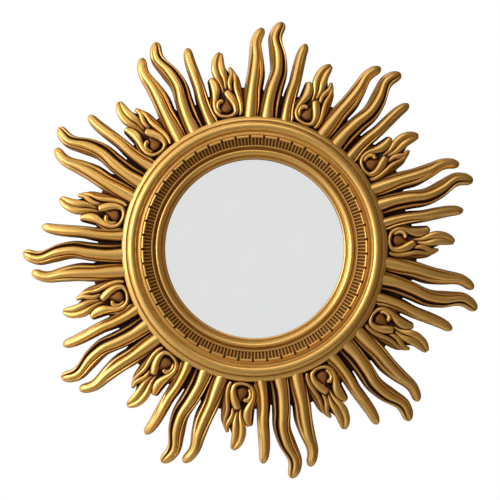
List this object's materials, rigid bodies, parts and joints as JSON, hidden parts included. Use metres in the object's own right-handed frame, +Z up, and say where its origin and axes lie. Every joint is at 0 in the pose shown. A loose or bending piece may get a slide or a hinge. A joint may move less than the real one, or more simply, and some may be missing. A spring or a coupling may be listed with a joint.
{
  "type": "sunburst wall mirror",
  "caption": "Round wall mirror in a gilt cast sunburst frame: a turned, dentilled moulding ringed by wavy rays and curled leaf sprays.",
  "frame": {"origin": "middle of the mirror, on the wall, at the rear face of the back board", "axes": "+Z up, -Y out of the wall towards the viewer, +X to the viewer's right"},
  "size_m": [0.738, 0.033, 0.7429],
  "materials": {
    "gilt_resin": "antique gold leaf look over cast resin, dark brown patina in the hollows",
    "silvered_glass": "flat silvered glass",
    "fibreboard": "plain brown fibreboard",
    "plated_steel": "zinc plated"
  },
  "bodies": {
    "root": {"sunburst_frame": "gilt_resin", "mirror_glass": "silvered_glass", "back_board": "fibreboard", "hanger_plate": "plated_steel", "hanger_screw_left": "plated_steel", "hanger_screw_right": "plated_steel"}
  },
  "joints": []
}
